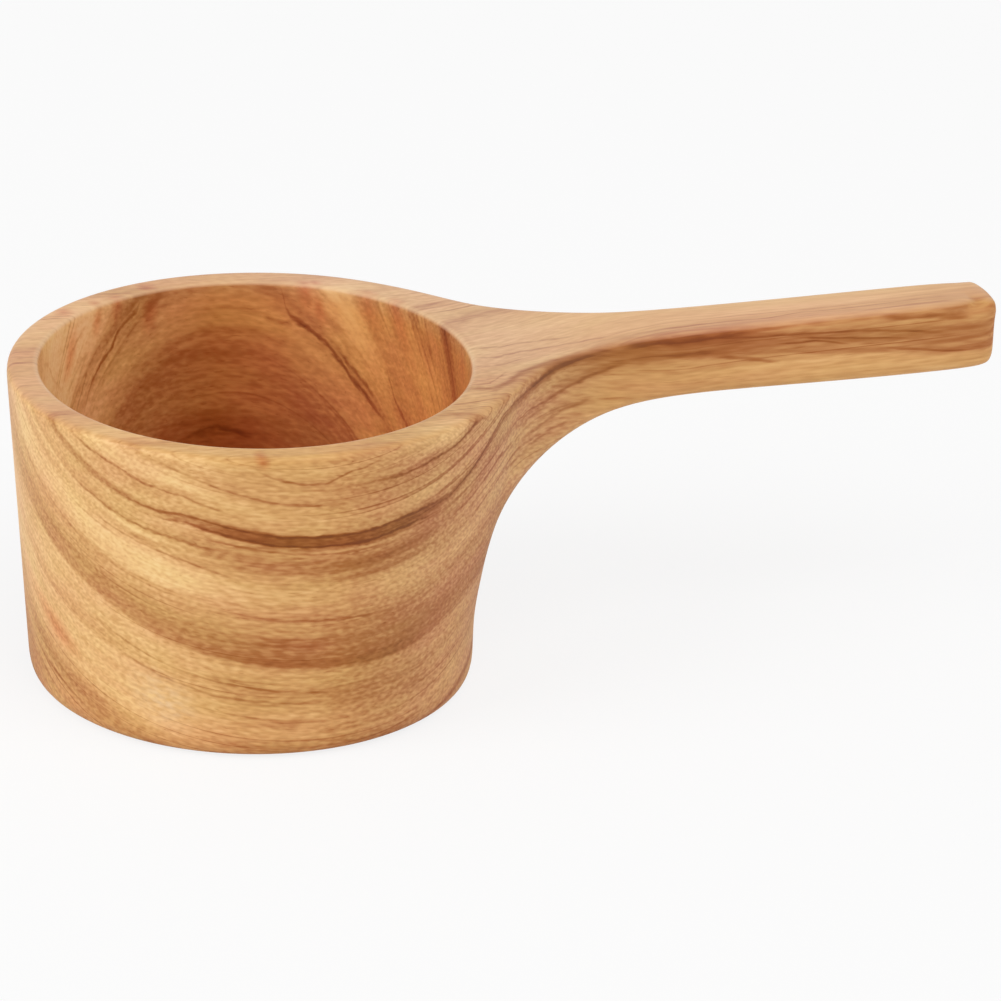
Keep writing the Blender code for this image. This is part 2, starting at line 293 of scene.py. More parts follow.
# Other growth lines lie where a slow noise is near zero, in patches, and fade out towards the handle's
# end between two values of x. All growth lines are broken up along their length.
OTHER_LINES = (60, 1.3, 42, -1.0, 1.0)
OTHER_LINES_SPAN = (0.35, 0.65)
OTHER_LINES_REACH = 0.26
OTHER_LINES_END_X = (80.5, 75)
PATCHES = (24, 4, 16, 0.0, 0.8)
PATCHES_SPAN = (0.42, 0.62)
BROKEN = (5, 0.8, 2, 0.26, 0.50)

# Small reddish blots, as (x, ring, reach)
NEAR_BLOTS = [(-6.5, 45.9, 0.9), (-23.3, 76.8, 1.8)]
FAR_BLOTS = [
    (11.4, 78.3, 1.2), (12.6, 78.4, 0.9), (17.0, 74.8, 1.5), (19.2, 72.3, 1.4), (-5.5, 79.8, 1.3),
    (-12.1, 76.6, 0.9), (-9.4, 77.5, 1.1), (-16.0, 75.1, 1.3),
]
BLOT_TINT = "FADCD2"
BLOT_DARKER = 0.14

# Painted highlight near the foot of the wall, a pale speckled spot: its middle as (x, ring), its half
# size and its noise
HIGHLIGHT_SPOT = (-15.0, 75.0)
HIGHLIGHT_SPOT_REACH = 3.6
HIGHLIGHT_SPECKLE = (1.4, 0.6, 0.6, 0.0, 0.7)
# Pale tone of the painted highlights near the foot and along the mouth's edge
HIGHLIGHT_TONE = "EBCBA2"

# Tones of oiled teak as sRGB hex, from the palest early wood to the darkest late wood
TONES = [
    (-0.3, "FCDAA0"), (0.0, "F1C586"), (0.1, "E9B97C"), (0.2, "DFAD6F"), (0.3, "D5A063"),
    (0.4, "CA9459"), (0.5, "C0854D"), (0.6, "B2743E"), (0.7, "A96831"), (0.8, "A05E27"),
    (0.9, "93521C"), (1.0, "894911"), (1.2, "7B3D0A"),
]
PALEST = -0.3
DARKEST = 1.2
# Saturation along x: the wood is a little greyer near the root of the handle
GREYED = [(-27, 1.0), (2, 1.0), (12, 0.95), (28, 0.94), (38, 1.0), (84, 1.0)]

# The hue drifts between rosy and straw yellow
HUE_DRIFT = (12, 3, 6, 0.494, 0.506)

# The rings wander by a sixth of a millimetre over a few centimetres, and have ragged edges
WANDER = (30, 8, 14, -0.16, 0.16)
RAGGED = (1.6, 0.5, 0.8, -0.08, 0.08)

# Fine grain: specks a millimetre long and a third of one across, fibres, open pores, long streaks and
# broad clouds. Real fibres are too fine to show, so they are drawn as bundles a quarter of a millimetre
# across.
SPECKS = (1.1, 0.36, 0.36, -0.095, 0.095)
FIBRES = (2.4, 0.26, 0.34, -0.05, 0.05)
PORES = (2.2, 0.20, 0.28, 0.0, 0.16)
PORES_SPAN = (0.64, 0.76)
STREAKS = (30, 0.45, 20, -0.06, 0.06)
CLOUDS = (14, 3, 7, -0.05, 0.05)
# Past the root the grain runs slower along x by this share, so that it is drawn out along the handle.
# Around the rings its sizes hold at one radius.
HANDLE_STRETCH = 0.5
GRAIN_RADIUS = 65
# The specks are fainter along the handle, from one value of x to another, and in the bowl, and all the
# fine grain is fainter on the flat top
HANDLE_SPECKS = 0.6
HANDLE_SPECKS_X = (26, 40)
BOWL_SPECKS = 0.7
TOP_GRAIN = 0.75

# The look of the flat top sets in from the first to the second depth below its level. A painted sheen,
# for the reflection of the white surroundings, takes a share of its darkness, which grows from the near
# side to the far side between two values of y, and where it grows a rosy tone comes in.
TOP_DEPTHS = (0.45, 0.1)
SHEEN_NEAR = 0.20
SHEEN_FAR = 0.48
SHEEN_Y = (-16, -6)
SHEEN_TONE = "E0B4A8"
SHEEN_SHARE = 0.20
# How much darker the flat top is, along x
TOP_DARKER = [
    (-27, 0.20), (-14, 0.11), (-7, 0.03), (12, 0.03), (19, 0.0), (70, 0.0), (80, 0.06), (84, 0.06),
]
# A strip along the top's front edge at the root gets less of the painted sheen, by this share, and stays
# darker:
# partly the umber ring's own tone and partly painted shade carried up over the edge from the side. It
# fades out between two rings, and between two values of x at each end.
STRIP_PAINTED_SHADE = 0.6
STRIP_RINGS = (54.8, 53.8)
STRIP_STARTS_X = (20, 25)
STRIP_ENDS_X = (40, 33)

# The look of the bowl sets in within this distance on each side of the mouth's edge. Below the first of
# two heights it is off, so that it stays away from the foot's underside.
MOUTH_RADIUS = MM_PER_M * (RIM_RADIUS - RIM_WALL)
MOUTH_BLEND = 0.2
BOWL_FROM_Z = (1.5, 3.0)
# Painted shade and warm bounce light in the bowl: a deeper orange, little on the left and more towards
# the handle, the tint that its wood is multiplied by, along x
BOWL_SHADE_TINTS = [
    (-21, "FFFFFC"), (-13, "FFF6F8"), (-6, "FFF8F0"), (1, "F8DECC"), (8, "FFDEC0"), (15, "FFE0BA"),
    (21, "FFD8A2"),
]
# Marks left by turning, long around the bowl and fine in height and depth, with levels that also make
# the bowl paler. Around it their sizes hold at one radius.
TURNING_MARKS = (12, 0.7, 0.7, -0.19, -0.09)
TURNING_RADIUS = 22
# A painted highlight lies pale along the mouth's edge: how strongly, and the distances at which that
# starts and is full
MOUTH_HIGHLIGHT = 0.35
MOUTH_HIGHLIGHT_REACH = (0.7, 0.2)

# Satin oil finish: duller on the dark late wood, with a fine relief of pores and fibres, deep in metres
PALE_ROUGHNESS = 0.40
DARK_ROUGHNESS = 0.52
OIL_SPECULAR = 0.25
PORE_DEPTH = 0.00006
PORE_STRENGTH = 0.3


def wall_radius(height):
    """Outer radius of the tapered cup at a height."""
    return BASE_RADIUS + (RIM_RADIUS - BASE_RADIUS) * height / CUP_HEIGHT


def half_width(distance, height):
    """Half of the plan width: the cup's circle, then a flare that touches it, then the handle's side."""
    cup = wall_radius(height)
    half = HANDLE_WIDTH / 2
    flare_end = math.sqrt((cup + FLARE_RADIUS) ** 2 - (half + FLARE_RADIUS) ** 2)
    flare_start = flare_end * cup / (cup + FLARE_RADIUS)
    if distance <= flare_start:
        return math.sqrt(cup ** 2 - distance ** 2)
    if distance < flare_end:
        return half + FLARE_RADIUS - math.sqrt(FLARE_RADIUS ** 2 - (flare_end - distance) ** 2)
    return half


def underside(distance):
    """Height of the handle's underside, which falls away from the neck to the full thickness."""
    past_neck = (distance - RIM_RADIUS - NECK_LENGTH) / (FULL_LENGTH - NECK_LENGTH)
    past_neck = min(max(past_neck, 0.0), 1.0)
    return CUP_HEIGHT - NECK_THICKNESS - (HANDLE_THICKNESS - NECK_THICKNESS) * past_neck


def cup_profile():
    """Half section of the cup as (radius, height): base, wall, rim, bowl, to the middle of the floor."""
    points = [(0.0, 0.0), (BASE_RADIUS, 0.0), (wall_radius(HOLLOW_HEIGHT), HOLLOW_HEIGHT)]
    for row in range(ROWS + 1):
        height = SWEEP_FOOT_HEIGHT + (CUP_HEIGHT - SWEEP_FOOT_HEIGHT) * row / ROWS
        points.append((wall_radius(height), height))
    points.append((RIM_RADIUS - RIM_WALL, CUP_HEIGHT))
    corner_height = FLOOR_THICKNESS + BOWL_CORNER_RADIUS
    corner_radius = wall_radius(corner_height) - BOWL_CORNER_WALL
    for step in range(BOWL_CORNER_STEPS + 1):
        angle = math.pi / 2 * step / BOWL_CORNER_STEPS
        radius = corner_radius - BOWL_CORNER_RADIUS * (1 - math.cos(angle))
        points.append((radius, corner_height - BOWL_CORNER_RADIUS * math.sin(angle)))
    points.append((0.0, FLOOR_THICKNESS))
    return points


def spin_cup(mesh):
    """Turn the profile round the cup's axis, with no column of the cage on the handle's centre line."""
    half_column = math.pi / COLUMNS
    drawn_in = 2 / 3 + math.cos(2 * half_column) / 3
    profile = []
    for radius, height in cup_profile():
        cage_radius = radius / drawn_in
        place = (cage_radius * math.cos(half_column), cage_radius * math.sin(half_column), height)
        profile.append(mesh.verts.new(place))
    edges = [mesh.edges.new(pair) for pair in zip(profile, profile[1:])]
    bmesh.ops.spin(mesh, geom=profile + edges, cent=(0, 0, 0), axis=(0, 0, 1), angle=2 * math.pi,
                   steps=COLUMNS, use_merge=True)
    bmesh.ops.remove_doubles(mesh, verts=mesh.verts, dist=MERGE_DISTANCE)
    bmesh.ops.recalc_face_normals(mesh, faces=mesh.faces)


def facing_handle(vert, angle):
    """How far a point of the wall faces the handle: 1 on the handle's line, 0 from an angle away."""
    edge_cosine = math.cos(math.radians(angle))
    cosine = vert.co.x / vert.co.xy.length
    return max(0.0, (cosine - edge_cosine) / (1 - edge_cosine))


def shape_wall(mesh):
    """Thicken the wall towards the handle, from the sweep's foot to the rim, and hollow it below."""
    for vert in mesh.verts:
        radius = vert.co.xy.length
        if radius < wall_radius(vert.co.z) - RIM_WALL / 2:
            continue
        up = (vert.co.z - SWEEP_FOOT_HEIGHT) / (CUP_HEIGHT - SWEEP_FOOT_HEIGHT)
        grown = SHOULDER_SWELL * facing_handle(vert, SHOULDER_ANGLE) * max(0.0, up)
        if abs(vert.co.z - HOLLOW_HEIGHT) < MERGE_DISTANCE:
            grown = -HOLLOW_DEPTH * facing_handle(vert, HOLLOW_ANGLE)
        vert.co.x *= 1 + grown / radius
        vert.co.y *= 1 + grown / radius


def handle_patch(mesh):
    """Faces of the wall that the handle grows out of: three columns wide, from the sweep to the rim."""
    past_third_column = math.cos(2.5 * math.pi / COLUMNS)
    patch = []
    for face in mesh.faces:
        middle = face.calc_center_median()
        radius = middle.xy.length
        outside = face.normal.xy.dot(middle.xy) > radius * math.cos(math.radians(SHARP_ANGLE))
        in_front = middle.x > radius * past_third_column
        if outside and in_front and middle.z > SWEEP_FOOT_HEIGHT:
            patch.append(face)
    return patch


def sweep_point(column, row, share):
    """Distance and height of a cage point between the cup's wall, share 0, and the handle, share 1."""
    outward = math.cos(column * math.pi / COLUMNS)
    foot = wall_radius(SWEEP_FOOT_HEIGHT) * outward
    rim = RIM_RADIUS * outward
    level = RIM_RADIUS + SWEEP_LENGTH
    angle = share * math.pi / 2
    bottom = level - (level - foot) * math.cos(angle)
    bottom_height = SWEEP_FOOT_HEIGHT + (underside(bottom) - SWEEP_FOOT_HEIGHT) * math.sin(angle)
    top = rim + (level - rim) * share
    down = row / ROWS
    return top + (bottom - top) * down, CUP_HEIGHT + (bottom_height - CUP_HEIGHT) * down


def handle_point(row, distance):
    """Distance and height of a cage point on the level part of the handle."""
    return distance, CUP_HEIGHT + (underside(distance) - CUP_HEIGHT) * row / ROWS


def place_section(verts, columns, rows, share, distance):
    """Move one section of the cage to its place: on the sweep where it has no distance, else past it.

    The end face is narrower than the handle and its lower edge lies higher, so its corners are round.
    """
    edge_column = max(vert[columns] for vert in verts)
    for vert in verts:
        if distance is None:
            along, height = sweep_point(vert[columns], vert[rows], share)
            side = half_width(*sweep_point(edge_column, vert[rows], share))
        else:
            along, height = handle_point(vert[rows], distance)
            side = half_width(along, height)
            if distance == RIM_RADIUS + HANDLE_LENGTH:
                side *= END_WIDTH / HANDLE_WIDTH
                height += END_RISE * vert[rows] / ROWS
        if abs(vert[columns]) < edge_column:
            side *= INNER_COLUMN_SHARE
        vert.co = (along, math.copysign(side, vert[columns]), height)


def pull_handle(mesh):
    """Pull the patch out of the cup's wall, section after section, to the end of the handle."""
    columns = mesh.verts.layers.int.new("column")
    rows = mesh.verts.layers.int.new("row")
    patch = handle_patch(mesh)
    for vert in {vert for face in patch for vert in face.verts}:
        vert[columns] = round(math.atan2(vert.co.y, vert.co.x) * COLUMNS / math.pi)
        vert[rows] = round((CUP_HEIGHT - vert.co.z) / (CUP_HEIGHT - SWEEP_FOOT_HEIGHT) * ROWS)
    stations = [(step / SWEEP_SECTIONS, None) for step in range(1, SWEEP_SECTIONS + 1)]
    last = HANDLE_LENGTH - END_ROUNDING / ROUNDING_SHARE
    for step in range(1, HANDLE_SECTIONS + 1):
        length = SWEEP_LENGTH + (last - SWEEP_LENGTH) * step / HANDLE_SECTIONS
        stations.append((1, RIM_RADIUS + length))
    stations.append((1, RIM_RADIUS + HANDLE_LENGTH))
    for share, distance in stations:
        pulled = bmesh.ops.extrude_face_region(mesh, geom=patch)["geom"]
        bmesh.ops.delete(mesh, geom=patch, context="FACES")
        patch = [item for item in pulled if isinstance(item, bmesh.types.BMFace)]
        section = [item for item in pulled if isinstance(item, bmesh.types.BMVert)]
        place_section(section, columns, rows, share, distance)


def ease_edges(mesh, height, radius, inside=0.0, outside=math.inf):
    """Put holding loops beside the sharp edges at one height, so the skin rounds them to a radius."""
    edges = []
    for edge in mesh.edges:
        level = all(abs(vert.co.z - height) < MERGE_DISTANCE for vert in edge.verts)
        middle = (edge.verts[0].co + edge.verts[1].co) / 2
        within = inside < middle.xy.length < outside
        if level and within and edge.calc_face_angle() > math.radians(SHARP_ANGLE):
            edges.append(edge)
    bmesh.ops.bevel(mesh, geom=edges, offset=radius / ROUNDING_SHARE, segments=2, profile=1.0,
                    affect="EDGES", clamp_overlap=False, material=-1)


def model_scoop():
    """Model the whole scoop as a coarse cage under a fine smooth skin with eased edges."""
    cage = bmesh.new()
    spin_cup(cage)
    shape_wall(cage)
    pull_handle(cage)
    middle_of_rim = RIM_RADIUS - RIM_WALL / 2
    ease_edges(cage, CUP_HEIGHT, TOP_EDGE_RADIUS, inside=middle_of_rim)
    ease_edges(cage, CUP_HEIGHT, MOUTH_EDGE_RADIUS, outside=middle_of_rim)
    ease_edges(cage, 0.0, BASE_EDGE_RADIUS)
    data = bpy.data.meshes.new("carved_scoop")
    cage.to_mesh(data)
    cage.free()
    data.shade_smooth()
    scoop = bpy.data.objects.new("carved_scoop", data)
    bpy.context.scene.collection.objects.link(scoop)
    skin = scoop.modifiers.new("skin", "SUBSURF")
    skin.levels = SKIN_LEVELS
    skin.render_levels = SKIN_LEVELS
    scoop.modifiers.new("even_shading", "WEIGHTED_NORMAL")
    return scoop


def linear(hex_colour):
    """Linear RGBA of an sRGB hex value."""
    channels = [int(hex_colour[start:start + 2], 16) / 255 for start in (0, 2, 4)]
    return [c / 12.92 if c <= 0.04045 else ((c + 0.055) / 1.055) ** 2.4 for c in channels] + [1.0]


def add(tree, kind, inputs, output=0, **settings):
    """Add a shader node with its settings, give its inputs values or links, and return one output."""
    node = tree.nodes.new("ShaderNode" + kind)
    for name, value in settings.items():
        setattr(node, name, value)
    for name, value in inputs.items():
        if isinstance(value, bpy.types.NodeSocket):
            tree.links.new(value, node.inputs[name])
        else:
            node.inputs[name].default_value = value
    return node.outputs[output]


def between_stops(tree, share, stops, low, high):
    """Colour or level between its stops, at a share of the way from their low limit to their high limit.

    A level is taken from the alpha, which is a single number already.
    """
    steps = add(tree, "ValToRGB", {"Fac": share}).node
    elements = steps.color_ramp.elements
    while len(elements) < len(stops):
        elements.new(1.0)
    coloured = isinstance(stops[0][1], str)
    for element, (place, tone) in zip(elements, stops):
        element.position = (place - low) / (high - low)
        element.color = linear(tone) if coloured else (tone, tone, tone, tone)
    return steps.outputs["Color" if coloured else "Alpha"]


def growth_rings(tree, x, y, z):
    """Radius from the pith in millimetres, less the swing of the rings into the handle."""
    leaning = add(tree, "Math", {0: x, 1: ROOT_X, 2: ROOT_SOFTNESS}, operation="SMOOTH_MIN")
    pith_y = add(tree, "Math", {0: leaning, 1: PITH_LEAN_Y, 2: PITH_Y}, operation="MULTIPLY_ADD")
    pith_z = add(tree, "Math", {0: leaning, 1: PITH_LEAN_Z, 2: PITH_Z}, operation="MULTIPLY_ADD")
    across = add(tree, "Math", {0: y, 1: pith_y}, operation="SUBTRACT")
    below = add(tree, "Math", {0: pith_z, 1: z}, operation="SUBTRACT")
    spoke = add(tree, "CombineXYZ", {"X": across, "Y": below})
    radius = add(tree, "VectorMath", {0: spoke}, output=1, operation="LENGTH")
    swing = add(tree, "MapRange", {"Value": x, "From Min": SWING_FROM_X, "From Max": SWING_TO_X,
                                   "To Min": 0.0, "To Max": -SWING}, interpolation_type="SMOOTHSTEP")
    angle = add(tree, "Math", {0: across, 1: below}, operation="ARCTAN2")
    return add(tree, "Math", {0: radius, 1: swing}, operation="ADD"), angle


def path(tree, along_share, points):
    """Radius along the block of a line through the points (x, radius), as a share of the last ring's."""
    stops = [(place, radius / RING_LAST) for place, radius in points]
    return between_stops(tree, along_share, stops, FIRST_X, LAST_X)


def even_rings(tree, along_share, radius):
    """Straighten the wavering rings: each of the three traced rings comes out at its own radius."""
    umber, rust, russet = [
        add(tree, "Math", {0: path(tree, along_share, points), 1: RING_LAST}, operation="MULTIPLY")
        for points in (UMBER_PATH, RUST_PATH, RUSSET_PATH)
    ]
    above = add(tree, "Math", {0: radius, 1: umber}, operation="SUBTRACT")
    above = add(tree, "Math", {0: above, 1: 0.0}, operation="MINIMUM")
    beyond = add(tree, "Math", {0: radius, 1: russet}, operation="SUBTRACT")
    beyond = add(tree, "Math", {0: beyond, 1: 0.0}, operation="MAXIMUM")
    upper = add(tree, "MapRange", {"Value": radius, "From Min": umber, "From Max": rust,
                                   "To Min": UMBER, "To Max": RUST})
    lower = add(tree, "MapRange", {"Value": radius, "From Min": rust, "From Max": russet,
                                   "To Min": 0.0, "To Max": RUSSET - RUST})
    even = add(tree, "Math", {0: above, 1: upper}, operation="ADD")
    even = add(tree, "Math", {0: even, 1: lower}, operation="ADD")
    return add(tree, "Math", {0: even, 1: beyond}, operation="ADD")


def grain(tree, place, along, across, around, low, high, detail=2.0, span=USUAL_SPAN):
    """Noise stretched to sizes in millimetres along, across and around the rings, between two levels."""
    scaled = add(tree, "Mapping", {"Vector": place, "Scale": (1 / along, 1 / across, 1 / around)})
    noise = add(tree, "TexNoise", {"Vector": scaled, "Scale": 1.0, "Detail": detail})
    return add(tree, "MapRange", {"Value": noise, "From Min": span[0], "From Max": span[1],
                                  "To Min": low, "To Max": high})


def stations_darkness(tree, x, ring, stations):
    """Darkness of the rings on one side of the block, blended from station to station along x."""
    darkness = None
    ring_share = add(tree, "MapRange", {"Value": ring, "From Min": RING_FIRST, "From Max": RING_LAST})
    for stops, blend in stations:
        here = between_stops(tree, ring_share, stops, RING_FIRST, RING_LAST)
        if blend is None:
            darkness = here
            continue
        share = add(tree, "MapRange", {"Value": x, "From Min": blend[0], "From Max": blend[1]},
                    interpolation_type="SMOOTHSTEP")
        darkness = add(tree, "Mix", {"Factor": share, "A": darkness, "B": here})
    return darkness


def line_group():
    """Node group of one fine line, thin and fading out at both ends, joined to the lines before it."""
    group = bpy.data.node_groups.new("fine_line", "ShaderNodeTree")
    for name in ("Ring", "Middle", "X", "Start", "End", "Fade", "Weight", "Before"):
        group.interface.new_socket(name, in_out="INPUT", socket_type="NodeSocketFloat")
    group.interface.new_socket("Strongest", in_out="OUTPUT", socket_type="NodeSocketFloat")
    given = group.nodes.new("NodeGroupInput").outputs
    away = add(group, "Math", {0: given["Ring"], 1: given["Middle"]}, operation="SUBTRACT")
    away = add(group, "Math", {0: away}, operation="ABSOLUTE")
    half_width_share = LINE_HALF_WIDTH / RING_LAST
    line = add(group, "MapRange", {"Value": away, "From Min": half_width_share, "From Max": 0.0,
                                   "To Max": given["Weight"]}, interpolation_type="SMOOTHSTEP")
    for first, second in ((given["X"], given["Start"]), (given["End"], given["X"])):
        inward = add(group, "Math", {0: first, 1: second}, operation="SUBTRACT")
        shown = add(group, "Math", {0: inward, 1: given["Fade"]}, operation="DIVIDE", use_clamp=True)
        line = add(group, "Math", {0: line, 1: shown}, operation="MULTIPLY")
    strongest = add(group, "Math", {0: line, 1: given["Before"]}, operation="MAXIMUM")
    group.links.new(strongest, group.nodes.new("NodeGroupOutput").inputs["Strongest"])
    return group


def fine_lines(tree, x, along_share, ring_share, lines, group):
    """How dark single fine growth lines are, the strongest at each place."""
    strongest = 0.0
    for weight, points in lines:
        start, end = points[0][0], points[-1][0]
        middle = path(tree, along_share, points)
        strongest = add(tree, "Group", {
            "Ring": ring_share, "Middle": middle, "X": x, "Start": start, "End": end,
            "Fade": LINE_FADE_SHARE * (end - start), "Weight": weight, "Before": strongest,
        }, node_tree=group)
    return strongest


def growth_lines(tree, x, ring, along_share, far, top, grain_place):
    """How dark the fine growth lines are: single ones and others in patches, all of them broken."""
    ring_share = add(tree, "Math", {0: ring, 1: 1 / RING_LAST}, operation="MULTIPLY")
    group = line_group()
    near_line, far_line, top_line = [
        fine_lines(tree, x, along_share, ring_share, lines, group)
        for lines in (NEAR_LINES, FAR_LINES, TOP_LINES)
    ]
    line = add(tree, "Mix", {"Factor": far, "A": near_line, "B": far_line})
    line = add(tree, "Mix", {"Factor": top, "A": line, "B": top_line})
    level = grain(tree, grain_place, *OTHER_LINES, detail=0.0, span=OTHER_LINES_SPAN)
    level = add(tree, "Math", {0: level}, operation="ABSOLUTE")
    others = add(tree, "MapRange", {"Value": level, "From Min": OTHER_LINES_REACH, "From Max": 0.0})
    patches = grain(tree, grain_place, *PATCHES, span=PATCHES_SPAN)
    before_end = add(tree, "MapRange", {"Value": x, "From Min": OTHER_LINES_END_X[0],
                                        "From Max": OTHER_LINES_END_X[1]})
    others = add(tree, "Math", {0: others, 1: patches}, operation="MULTIPLY")
    others = add(tree, "Math", {0: others, 1: before_end}, operation="MULTIPLY")
    broken = grain(tree, grain_place, *BROKEN)
    line = add(tree, "Math", {0: line, 1: others}, operation="MAXIMUM")
    return add(tree, "Math", {0: line, 1: broken}, operation="MULTIPLY")


def blots(tree, x, ring, spots):
    """How strongly small soft blots show, 0 to 1."""
    strongest = 0.0
    for middle_x, middle_ring, reach in spots:
        away = add(tree, "CombineXYZ", {"X": x, "Y": ring})
        away = add(tree, "VectorMath", {0: away, 1: (middle_x, middle_ring, 0.0)}, output=1,
                   operation="DISTANCE")
        blot = add(tree, "MapRange", {"Value": away, "From Min": reach, "From Max": 0.0})
        strongest = add(tree, "Math", {0: strongest, 1: blot}, operation="MAXIMUM")
    return strongest


def grain_axes(tree, x, radius, angle):
    """Place in the grain: along x and drawn out along the handle, across the rings and around them."""
    past_root = add(tree, "Math", {0: x, 1: ROOT_X}, operation="SUBTRACT")
    past_root = add(tree, "Math", {0: past_root, 1: 0.0}, operation="MAXIMUM")
    along = add(tree, "Math", {0: past_root, 1: -HANDLE_STRETCH, 2: x}, operation="MULTIPLY_ADD")
    around = add(tree, "Math", {0: angle, 1: GRAIN_RADIUS}, operation="MULTIPLY")
    return add(tree, "CombineXYZ", {"X": along, "Y": radius, "Z": around})


def fine_grain(tree, x, top, bowl, grain_place):
    """Change of darkness by the layers of fine grain, and the depth of the fibres and pores."""
    specks = grain(tree, grain_place, *SPECKS, detail=0.5)
    fibres = grain(tree, grain_place, *FIBRES)
    pores = grain(tree, grain_place, *PORES, span=PORES_SPAN)
    streaks = grain(tree, grain_place, *STREAKS, detail=1.0)
    clouds = grain(tree, grain_place, *CLOUDS)
    on_handle = add(tree, "MapRange", {"Value": x, "From Min": HANDLE_SPECKS_X[0],
                                       "From Max": HANDLE_SPECKS_X[1], "To Min": 1.0,
                                       "To Max": HANDLE_SPECKS})
    in_bowl = add(tree, "MapRange", {"Value": bowl, "To Min": 1.0, "To Max": BOWL_SPECKS})
    quieter = add(tree, "Math", {0: on_handle, 1: in_bowl}, operation="MULTIPLY")
    change = add(tree, "Math", {0: specks, 1: quieter}, operation="MULTIPLY")
    for layer in (fibres, pores, streaks, clouds):
        change = add(tree, "Math", {0: change, 1: layer}, operation="ADD")
    on_top = add(tree, "MapRange", {"Value": top, "To Min": 1.0, "To Max": TOP_GRAIN})
    change = add(tree, "Math", {0: change, 1: on_top}, operation="MULTIPLY")
    depth = add(tree, "Math", {0: fibres, 1: pores}, operation="ADD")
    return change, depth


def painted_top_sheen(tree, x, ring, top):
    """How far the painted sheen shows on the flat top, 0 to 1, and less on the strip along its front
    edge, left darker as painted shade.
    """
    strip = add(tree, "MapRange", {"Value": ring, "From Min": STRIP_RINGS[0],
                                   "From Max": STRIP_RINGS[1]})
    starts = add(tree, "MapRange", {"Value": x, "From Min": STRIP_STARTS_X[0],
                                    "From Max": STRIP_STARTS_X[1], "To Max": STRIP_PAINTED_SHADE})
    ends = add(tree, "MapRange", {"Value": x, "From Min": STRIP_ENDS_X[0], "From Max": STRIP_ENDS_X[1]})
    strip = add(tree, "Math", {0: strip, 1: starts}, operation="MULTIPLY")
    strip = add(tree, "Math", {0: strip, 1: ends}, operation="MULTIPLY")
    beside = add(tree, "Math", {0: 1.0, 1: strip}, operation="SUBTRACT")
    return add(tree, "Math", {0: top, 1: beside}, operation="MULTIPLY")


def turning_marks(tree, x, y, z, from_axis):
    """Level of the faint marks that turning left round the bowl."""
    around = add(tree, "Math", {0: y, 1: x}, operation="ARCTAN2")
    around = add(tree, "Math", {0: around, 1: TURNING_RADIUS}, operation="MULTIPLY")
    turned = add(tree, "CombineXYZ", {"X": around, "Y": z, "Z": from_axis})
    return grain(tree, turned, *TURNING_MARKS, detail=1.0)


def painted_bowl_shade(tree, x, bowl):
    """Tint of the bowl's deeper orange, painted shade and warm bounce light, and white outside it."""
    first, last = BOWL_SHADE_TINTS[0][0], BOWL_SHADE_TINTS[-1][0]
    share = add(tree, "MapRange", {"Value": x, "From Min": first, "From Max": last})
    tint = between_stops(tree, share, BOWL_SHADE_TINTS, first, last)
    return add(tree, "MixRGB", {"Fac": bowl, "Color1": linear(WHITE), "Color2": tint})


def painted_mouth_highlight(tree, from_axis, top):
    """How strongly the painted highlight along the mouth's edge shows."""
    away = add(tree, "Math", {0: from_axis, 1: MOUTH_RADIUS}, operation="SUBTRACT")
    away = add(tree, "Math", {0: away}, operation="ABSOLUTE")
    painted_highlight = add(tree, "MapRange", {"Value": away, "From Min": MOUTH_HIGHLIGHT_REACH[0],
                                  "From Max": MOUTH_HIGHLIGHT_REACH[1], "To Max": MOUTH_HIGHLIGHT})
    return add(tree, "Math", {0: painted_highlight, 1: top}, operation="MULTIPLY")


def painted_foot_highlight(tree, x, y, ring, grain_place):
    """How strongly the painted highlight, a pale speckled spot near the foot of the near wall, shows."""
    away = add(tree, "CombineXYZ", {"X": x, "Y": ring})
    away = add(tree, "VectorMath", {0: away, 1: (*HIGHLIGHT_SPOT, 0.0)}, output=1, operation="DISTANCE")
    painted_highlight = add(tree, "MapRange", {"Value": away, "From Min": HIGHLIGHT_SPOT_REACH, "From Max": 0.0})
    speckled = grain(tree, grain_place, *HIGHLIGHT_SPECKLE)
    painted_highlight = add(tree, "Math", {0: painted_highlight, 1: speckled}, operation="MULTIPLY")
    near_side = add(tree, "Math", {0: y, 1: 0.0}, operation="LESS_THAN")
    return add(tree, "Math", {0: painted_highlight, 1: near_side}, operation="MULTIPLY")


